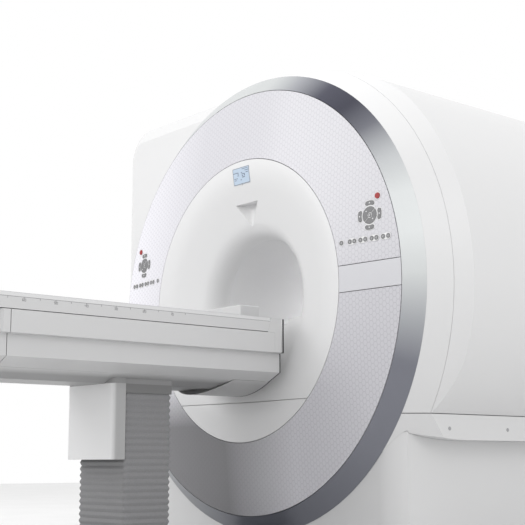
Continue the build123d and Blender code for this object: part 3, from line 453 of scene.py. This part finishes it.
# Painted light and shade: bright and dark bands on the bezel round the bore.
BEZEL = round_painted_shading("bezel_blue", [
    (-180, 0.50, 0.0), (-90, 0.19, 0.03), (-40, 0.20, 0.03), (-20, 0.18, 0.03), (-10, 0.39, 0.02),
    (0, 0.61, 0.0), (10, 0.68, 0.0), (20, 0.65, 0.0), (30, 0.44, 0.01), (41, 0.11, 0.02),
    (50, 0.02, 0.015), (60, 0.03, 0.02), (71, 0.25, 0.02), (82, 0.52, 0.0), (92, 0.62, 0.0),
    (108, 0.65, 0.0), (120, 0.61, 0.0), (132, 0.53, 0.0), (180, 0.52, 0.0),
])
STEEL_PAINT = dull("steel_paint", (0.36, 0.37, 0.39), 0.5)
MAGNET = brushed("magnet_steel", (0.62, 0.62, 0.63))
LIFT_STEEL = brushed("lift_steel", (0.6, 0.6, 0.61))
RESIN = dull("coil_resin", (0.45, 0.36, 0.20), 0.5)
GLIDE = dull("glide_plastic", (0.85, 0.85, 0.83), 0.3)
BELLOWS = dull("bellows_grey", (0.22, 0.22, 0.225), 0.7)
KEY = dull("key_grey", (0.17, 0.17, 0.175), 0.45, 500.0, 0.05, 0.05)
STOP = moulded("stop_red", (0.30, 0.002, 0.004), rough=0.45, coat=0.0)
SCREEN = moulded("display_face", (0.46, 0.56, 0.68), rough=0.3, coat=0.2)
PALE = moulded("pale_print", (0.74, 0.74, 0.74), rough=0.4, coat=0.1)
ICON = moulded("icon_print", (0.62, 0.62, 0.63), rough=0.4, coat=0.1)
SCREW = fine_paint("screw_grey", (0.33, 0.33, 0.34))
INK = fine_paint("ink_dark", (0.13, 0.16, 0.22))
RULE = fine_paint("rule_print", (0.20, 0.20, 0.21))
# Painted shadow: near-black strip for the dark gap round the table's head end.
SHADOW_STRIP = dull("shadow_strip_dark", (0.045, 0.045, 0.05), 0.7)

LOOKS = {
    "white_cover": WHITE, "patterned_ring": RING, "band_panel": BAND, "bezel_blue": BEZEL,
    "display_glass": SCREEN, "steel_frame": STEEL_PAINT, "magnet_steel": MAGNET, "coil_resin": RESIN,
    "panel_plastic": RING, "table_cover": TABLE_WHITE, "board_composite": BOARD,
    "glide_plastic": GLIDE, "lift_steel": LIFT_STEEL, "bellows_grey": BELLOWS, "stop_red": STOP,
    "key_grey": KEY,
}
NODE_LOOKS = {"bore_liner": LINER, "bore_deck": FUNNEL_WHITE, "funnel_cover": FUNNEL_WHITE,
              "funnel_lower_cover": FUNNEL_WHITE, "pedestal_cover": PEDESTAL, "plinth_right": PLINTH,
              "plinth_left": PLINTH, "belly_cover_head": BELLY_HEAD}


def dress_nodes():
    """Gives every CAD node its material and smooth shading with crisp edges."""
    for row in RECORD["subparts"]:
        node = NODES[row["node"]]
        look = NODE_LOOKS.get(row["node"], LOOKS[row["material_slot"]])
        node.data.materials.clear()
        node.data.materials.append(look)
        bpy.ops.object.select_all(action="DESELECT")
        bpy.context.view_layer.objects.active = node
        node.select_set(True)
        bpy.ops.object.shade_auto_smooth(angle=radians(CREASE_ANGLE))


# Mesh helpers: loops are lists of (u, v) in millimetres, and a spot turns (u, v, height) into a place

def piece(name, verts, faces, look, body):
    """Closed mesh piece that rides a body, with its faces turned outwards."""
    mesh = bpy.data.meshes.new(name)
    shape = bmesh.new()
    made = [shape.verts.new(vert) for vert in verts]
    for face in faces:
        shape.faces.new([made[index] for index in face])
    bmesh.ops.recalc_face_normals(shape, faces=shape.faces)
    shape.to_mesh(mesh)
    shape.free()
    mesh.materials.append(look)
    made_object = bpy.data.objects.new(name, mesh)
    bpy.context.scene.collection.objects.link(made_object)
    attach(made_object, body)
    return made_object


def prism_faces(start, count):
    """Faces of a prism whose lower loop of vertices is followed by its upper one."""
    faces = [[start + k for k in range(count)], [start + count + k for k in range(count)]]
    for k in range(count):
        after = (k + 1) % count
        faces.append([start + k, start + after, start + count + after, start + count + k])
    return faces


def tube_faces(start, rings, count):
    """Faces between loops of equal counts, with the last loop joined to the first."""
    faces = []
    for ring in range(rings):
        here, beyond = start + ring * count, start + (ring + 1) % rings * count
        for k in range(count):
            after = (k + 1) % count
            faces.append([here + k, here + after, beyond + after, beyond + k])
    return faces


def prisms(loops, spot, low, high):
    """Vertices and faces of one prism for each loop."""
    verts, faces = [], []
    for loop in loops:
        faces += prism_faces(len(verts), len(loop))
        verts += [spot(u, v, low) for u, v in loop] + [spot(u, v, high) for u, v in loop]
    return verts, faces


def bands(pairs, spot, low, high):
    """Vertices and faces of flat frames, each between an inner and an outer loop of equal counts."""
    verts, faces = [], []
    for inner, outer in pairs:
        faces += tube_faces(len(verts), 4, len(inner))
        for loop, height in ((inner, low), (outer, low), (outer, high), (inner, high)):
            verts += [spot(u, v, height) for u, v in loop]
    return verts, faces


def on_circle(radius, angle):
    """Point at an angle in degrees on a circle about the middle."""
    return radius * cos(radians(angle)), radius * sin(radians(angle))


def circle(centre, radius, count=32):
    """Outline of a circle."""
    return [(centre[0] + radius * cos(2 * pi * k / count), centre[1] + radius * sin(2 * pi * k / count))
            for k in range(count)]


def ring_pair(inner, outer, count=32):
    """Inner and outer outline of a flat ring about the middle."""
    return circle((0, 0), inner, count), circle((0, 0), outer, count)


def oblong(first, last, radius, count=12):
    """Outline with round ends about two centres that lie side by side."""
    loop = []
    for centre, start in ((last, -90), (first, 90)):
        for k in range(count + 1):
            angle = radians(start + 180 * k / count)
            loop.append((centre[0] + radius * cos(angle), centre[1] + radius * sin(angle)))
    return loop


def rounded(half_x, half_y, radius, steps=4):
    """Rectangle with round corners about the middle."""
    loop = []
    for number, (side_x, side_y) in enumerate(((1, 1), (-1, 1), (-1, -1), (1, -1))):
        for k in range(steps + 1):
            angle = radians(90 * (number + k / steps))
            loop.append((side_x * (half_x - radius) + radius * cos(angle),
                         side_y * (half_y - radius) + radius * sin(angle)))
    return loop


def turned(corners, centre, angle):
    """Corners turned about the middle and then moved to a centre."""
    turn = radians(angle)
    return [(centre[0] + a * cos(turn) - b * sin(turn), centre[1] + a * sin(turn) + b * cos(turn))
            for a, b in corners]


def bar(centre, width, height, angle=0.0):
    """Four corners of a bar turned about its middle."""
    corners = [(-width / 2, -height / 2), (width / 2, -height / 2), (width / 2, height / 2),
               (-width / 2, height / 2)]
    return turned(corners, centre, angle)


def moved_corner(corner, legs, amount):
    """Where a corner goes when the two legs that meet in it both move to their right."""
    normals = []
    for (ax, ay), (bx, by) in legs:
        length = hypot(bx - ax, by - ay)
        normals.append(((by - ay) / length, (ax - bx) / length))
    (ax, ay), (bx, by) = normals
    reach = amount / (1 + ax * bx + ay * by)
    return corner[0] + (ax + bx) * reach, corner[1] + (ay + by) * reach


def grown(loop, amount):
    """Loop moved outwards, for loops that run anticlockwise."""
    after = loop[1:] + loop[:1]
    return [moved_corner(here, ((loop[k - 1], here), (here, after[k])), amount)
            for k, here in enumerate(loop)]


def grown_open(path, amount):
    """Open path moved to its left, with its ends moved square to their own legs."""
    legs = list(zip(path, path[1:]))
    return [moved_corner(corner, pair, -amount)
            for corner, *pair in zip(path, legs[:1] + legs, legs + legs[-1:])]


def arc_loop(angle, steps=10):
    """Outline of a curved key with pointed ends."""
    (inner, turn), (tip, tip_turn), (outer, _) = ARC_KEY
    polar = [(inner, turn - 2 * turn * k / steps) for k in range(steps + 1)]
    polar.append((tip, -tip_turn))
    polar += [(outer, -turn + 2 * turn * k / steps) for k in range(steps + 1)]
    polar.append((tip, tip_turn))
    return [on_circle(radius, angle + shift) for radius, shift in polar]


def panel_spot(side, offset=(0.0, 0.0)):
    """Places on the control panel of one side, around a point counted from the pad's middle."""
    radius = hypot(*PANEL)
    depth = RING_INNER_DEPTH + (radius - RING_INNER) * RING_SLOPE
    normal = Vector((RING_SLOPE * PANEL[0] / radius, -1.0, RING_SLOPE * PANEL[1] / radius)).normalized()
    across = (Vector((1.0, 0.0, 0.0)) - normal * normal.x).normalized()
    up = normal.cross(across)
    lean = (offset[0] * normal.x + offset[1] * normal.z) / -normal.y
    origin = Vector((PANEL[0] + offset[0], depth + lean, PANEL[1] + offset[1]))

    def spot(u, v, height):
        place = origin + across * u + up * v + normal * height
        return at(side * place.x, place.y, place.z)
    return spot


def add_pad_outlines(side, tag):
    """Pale outlines round the keys of the pad and round the stop button."""
    pad = panel_spot(side)
    pairs = [ring_pair(DISC_RADIUS + OUTLINE_GAP, DISC_RADIUS + OUTLINE_REACH),
             ring_pair(CENTRE_KEY_RADIUS + OUTLINE_GAP, HUB_RING_RADIUS - OUTLINE_GAP)]
    for angle in ARC_KEY_TURNS.values():
        loop = arc_loop(angle)
        pairs.append((grown(loop, OUTLINE_GAP), grown(loop, ARC_OUTLINE_REACH)))
    piece(f"pad_outlines_{tag}", *bands(pairs, pad, *PRINT), PALE, "gantry")
    length = DISC_RADIUS - HUB_RING_RADIUS - SPLIT_SHORTENED
    splits = [bar(on_circle(DISC_MIDDLE, angle), length, SPLIT_WIDTH, angle) for angle in (45, 225)]
    piece(f"pad_split_{tag}", *prisms(splits, pad, *PRINT), PALE, "gantry")
    halo = ring_pair(STOP_RADIUS + OUTLINE_GAP, STOP_RADIUS + STOP_OUTLINE_REACH)
    piece(f"stop_outline_{tag}", *bands([halo], panel_spot(side, STOP_OFFSET), *PRINT), PALE, "gantry")


def add_key_row(side, tag):
    """Pale grounds, grey skins and small marks of the keys that stand in a row under the pad."""
    grounds, skins, marks = [], [], []
    for group in ROW_GROUPS:
        grounds.append(oblong((group[0], 0), (group[-1], 0), ROW_KEY_RADIUS + OUTLINE_REACH))
        for u in group:
            skins.append(circle((u, 0), ROW_KEY_RADIUS + ROW_SKIN_WALL, 24))
            for (across, up), width, height, angle in ROW_STROKES:
                marks.append(bar((u + across, up), width, height, angle))
    row = panel_spot(side, (0.0, ROW_DROP))
    piece(f"row_outlines_{tag}", *prisms(grounds, row, *PRINT), PALE, "gantry")
    piece(f"row_skins_{tag}", *prisms(skins, row, *ROW_SKIN), KEY, "gantry")
    piece(f"row_marks_{tag}", *prisms(marks, row, *ROW_MARK), ICON, "gantry")


def add_key_marks(side, tag):
    """Arrows on the curved keys, dots on the half discs and a ring on the centre key."""
    pad = panel_spot(side)
    arrow_radius = (ARC_KEY[0][0] + ARC_KEY[2][0]) / 2
    for word, angle in ARC_KEY_TURNS.items():
        arrow = turned(ARROW, on_circle(arrow_radius, angle), angle)
        piece(f"arrow_{word}_{tag}", *prisms([arrow], pad, *MARK), ICON, f"arc_key_{word}_{tag}")
    for word, angle in DISC_KEY_TURNS.items():
        dot = circle(on_circle(DISC_MIDDLE, angle), DOT_RADIUS, 16)
        piece(f"dot_{word}_{tag}", *prisms([dot], pad, *MARK), ICON, f"disc_key_{word}_{tag}")
    mark = ring_pair(*RING_MARK, 20)
    piece(f"mark_centre_{tag}", *bands([mark], pad, *MARK), ICON, f"centre_key_{tag}")


def add_display():
    """Edge and plain marks on the display's face."""
    tilt = radians(DISPLAY_TILT)

    def spot(u, v, height):
        return at(DISPLAY[0] + u, DISPLAY[1] - v * sin(tilt) - height * cos(tilt),
                  DISPLAY[2] + v * cos(tilt) - height * sin(tilt))
    loops = [bar(centre, width, height) for centre, width, height in DISPLAY_BARS]
    piece("display_marks", *prisms(loops, spot, *THIN_PRINT), INK, "gantry")
    face = bar((0, 0), *DISPLAY_FACE)
    edge = (face, grown(face, DISPLAY_EDGE_WIDTH))
    piece("display_edge", *bands([edge], spot, *DISPLAY_EDGE), RULE, "gantry")


# Strokes of a figure by place: middle in half sizes across and up, then 1 for a flat or an upright one
STROKES = {"top": (0, 1, 1, 0), "middle": (0, 0, 1, 0), "bottom": (0, -1, 1, 0), "left_high": (-1, 0.5, 0, 1),
           "left_low": (-1, -0.5, 0, 1), "right_high": (1, 0.5, 0, 1), "right_low": (1, -0.5, 0, 1)}
FIGURES = {
    "0": "top bottom left_high left_low right_high right_low", "1": "right_high right_low",
    "2": "top right_high middle left_low bottom", "3": "top right_high middle right_low bottom",
    "4": "left_high right_high middle right_low", "5": "top left_high middle right_low bottom",
    "6": "top left_high left_low middle right_low bottom", "7": "top right_high right_low",
    "8": "top middle bottom left_high left_low right_high right_low",
    "9": "top middle bottom left_high right_high right_low",
}


def figure(digit, centre, wide, tall, stroke):
    """Bars of one figure."""
    loops = []
    for word in FIGURES[digit].split():
        a, b, flat, upright = STROKES[word]
        size = (flat * wide + stroke, upright * tall / 2 + stroke)
        loops.append(bar((centre[0] + a * wide / 2, centre[1] + b * tall / 2), *size))
    return loops


def add_ruler(side, tag):
    """Line, ticks and figures along the upper edge of a rail's face."""
    foot, head = RAIL_ENDS

    def spot(u, v, height):
        return at(side * (TABLE_HALF + height), u, RAIL_EDGE + v)
    loops = [bar(((foot + head) / 2, RULE_LINE_LEVEL), head - foot, RULE_LINE_WIDTH)]
    for tick in range(RULE_TICKS):
        y = RULE_START - tick * RULE_PITCH
        loops.append(bar((y, RULE_TICK_LEVEL), *RULE_TICK_SIZE))
        if tick % 2:
            number = str(5 * (tick + 1))
            for place, digit in enumerate(number):
                shift = (place - (len(number) - 1) / 2) * RULE_FIGURE_PITCH * side
                loops += figure(digit, (y + shift, RULE_FIGURE_LEVEL), *RULE_FIGURE_SIZE, RULE_FIGURE_STROKE)
    piece(f"ruler_marks_{tag}", *prisms(loops, spot, *THIN_PRINT), RULE, "table")


def add_shadow_strip():
    """Near-black strip, a painted shadow in the gap, that follows the outline of the table's head end."""
    half, level = SHADOW_STRIP_SIDE[-1]
    radius = (half ** 2 + SHADOW_STRIP_SAG ** 2) / (2 * SHADOW_STRIP_SAG)
    spread = [-half + 2 * half * k / SHADOW_STRIP_STEPS for k in range(1, SHADOW_STRIP_STEPS)]
    curve = [(x, level - SHADOW_STRIP_SAG + radius - sqrt(radius ** 2 - x ** 2)) for x in spread]
    path = [(-x, z) for x, z in SHADOW_STRIP_SIDE] + curve + list(SHADOW_STRIP_SIDE[::-1])
    strip = path + grown_open(path, SHADOW_STRIP_WIDTH)[::-1]

    def spot(u, v, height):
        return at(u, TABLE_HEAD + height, v)
    piece("head_shadow_strip", *prisms([strip], spot, 0.0, SHADOW_STRIP_THICKNESS), SHADOW_STRIP, "table")


def add_bellows():
    """Pleated sleeve round the lift column."""
    height = BELLOWS_TOP - BELLOWS_LOW
    pitch = height / BELLOWS_COUNT
    levels = []
    for fold in range(BELLOWS_COUNT):
        for share, inset in BELLOWS_FOLD_SHAPE:
            levels.append((BELLOWS_LOW + (fold + share) * pitch, BELLOWS_FOLD * inset))
    levels.append((BELLOWS_TOP, BELLOWS_FOLD))
    run = levels + [(level, inset + BELLOWS_WALL) for level, inset in reversed(levels)]
    verts = []
    for level, inset in run:
        loop = rounded(BELLOWS_HALF[0] - inset, BELLOWS_HALF[1] - inset, BELLOWS_ROUND)
        verts += [at(x, BELLOWS_MIDDLE + y, level) for x, y in loop]
    faces = tube_faces(0, len(run), len(verts) // len(run))
    sleeve = piece("bellows_sleeve", verts, faces, BELLOWS, "gantry")
    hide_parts("table_bellows")
    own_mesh(sleeve)


def pedestal_bend(radius):
    """Quarter turn about the centre of the pedestal's round front corner."""
    x, y = PEDESTAL_CORNER
    turns = [radians(-90 + 10 * k) for k in range(10)]
    return [(x + radius * cos(turn), y + radius * sin(turn)) for turn in turns]


def add_corner_strip(side, tag):
    """Strip behind the pedestal's round front corner."""
    low, high = PEDESTAL_LEVELS
    strip = pedestal_bend(PEDESTAL_ROUND - TRIM_GAP) + pedestal_bend(PEDESTAL_ROUND - TRIM_WALL)[::-1]

    def spot(u, v, height):
        return at(side * u, v, height)
    piece(f"pedestal_corner_{tag}", *prisms([strip], spot, low, high - TRIM_SINK), PEDESTAL, "table")


def add_belly_filler(side, tag):
    """Wedge between the pedestal's level top and the sloping side of the belly."""
    high = PEDESTAL_LEVELS[1]
    inner = BELLY_HALF + TRIM_INSET
    front = PEDESTAL_CORNER[1] - PEDESTAL_ROUND + TRIM_GAP
    flank = PEDESTAL_CORNER[0] + PEDESTAL_ROUND - TRIM_GAP
    head_flank = HEAD_HALF - TRIM_GAP
    step, back = PEDESTAL_BACK - TRIM_GAP, HEAD_BACK - TRIM_GAP
    plan = [(inner, front)] + pedestal_bend(PEDESTAL_ROUND - TRIM_GAP)
    plan += [(flank, step), (head_flank, step), (head_flank, back), (inner, back)]
    verts = [at(side * x, y, high - TRIM_SINK) for x, y in plan]
    verts += [at(side * x, y, high + (x - BELLY_HALF) * BELLY_SLOPE) for x, y in plan]
    piece(f"pedestal_filler_{tag}", verts, prism_faces(0, len(plan)), TABLE_WHITE, "table")


def add_screw_caps(side, tag):
    """Round plugs on a skirt."""
    skirt = NODES[f"side_skirt_{tag}"]
    level = Vector((0.0, 1.0, 0.0))
    for number, depth in enumerate(SCREW_PLACES):
        origin = at(side * BESIDE_SKIRT, depth, SCREW_LEVEL)
        _, place, normal, _ = skirt.ray_cast(origin, Vector((-side, 0.0, 0.0)))
        up = normal.cross(level)

        def spot(u, v, height):
            return place + (level * u + up * v + normal * height) / 1000.0
        cap = prisms([circle((0, 0), SCREW_RADIUS, 24)], spot, *SCREW_HEIGHTS)
        piece(f"screw_cap_{tag}_{number}", *cap, SCREW, "gantry")


def aim(location, target):
    """Rotation that points an object's -Z from one place to another."""
    return (Vector(target) - Vector(location)).to_track_quat("-Z", "Y").to_euler()


def add_camera():
    """Camera at the photograph's viewpoint."""
    data = bpy.data.cameras.new("camera")
    data.sensor_width = SENSOR
    data.lens = CAMERA_FOCAL * SENSOR / PHOTO_SIZE
    data.clip_end = 60.0
    camera = bpy.data.objects.new("camera", data)
    yaw, pitch, roll = (radians(a) for a in (CAMERA_YAW, CAMERA_PITCH, CAMERA_ROLL))
    forward = Vector((sin(yaw) * cos(pitch), cos(yaw) * cos(pitch), sin(pitch)))
    right = Vector((cos(yaw), -sin(yaw), 0.0))
    up = right.cross(forward)
    right, up = right * cos(roll) + up * sin(roll), up * cos(roll) - right * sin(roll)
    turn = Matrix((right, up, -forward)).transposed()
    camera.matrix_world = Matrix.Translation(CAMERA_AT) @ turn.to_4x4()
    bpy.context.scene.collection.objects.link(camera)
    bpy.context.scene.camera = camera


def add_light(name, place, target, size, power):
    """Rectangular area light at a place, aimed at a target."""
    data = bpy.data.lights.new(name, "AREA")
    data.shape = "RECTANGLE"
    data.size, data.size_y = size
    data.energy = power
    light = bpy.data.objects.new(name, data)
    light.location = place
    light.rotation_euler = aim(place, target)
    bpy.context.scene.collection.objects.link(light)


def add_studio():
    """Even white surroundings and soft lights."""
    world = bpy.data.worlds.new("studio")
    world.use_nodes = True
    world.node_tree.nodes["Background"].inputs[0].default_value = (1.0, 1.0, 1.0, 1.0)
    world.node_tree.nodes["Background"].inputs[1].default_value = 1.0
    bpy.context.scene.world = world
    bpy.context.scene.view_settings.view_transform = "Standard"
    for light in LIGHTS:
        add_light(*light)


def add_floor():
    """Plain pale floor."""
    reach = FLOOR_REACH
    mesh = bpy.data.meshes.new("floor")
    mesh.from_pydata([(-reach, -reach, 0), (reach, -reach, 0), (reach, reach, 0), (-reach, reach, 0)], [],
                     [(0, 1, 2, 3)])
    floor = bpy.data.objects.new("floor", mesh)
    floor.data.materials.append(moulded("floor_pale", (0.80, 0.80, 0.80), rough=0.6, coat=0.0))
    bpy.context.scene.collection.objects.link(floor)


add_camera()
dress_nodes()
add_studio()
add_floor()
for SIDE, TAG in SIDES:
    add_pad_outlines(SIDE, TAG)
    add_key_row(SIDE, TAG)
    add_key_marks(SIDE, TAG)
    add_ruler(SIDE, TAG)
add_display()
add_shadow_strip()
add_bellows()
for SIDE, TAG in SIDES:
    add_corner_strip(SIDE, TAG)
    add_belly_filler(SIDE, TAG)
for SIDE, TAG in SIDES:
    add_screw_caps(SIDE, TAG)
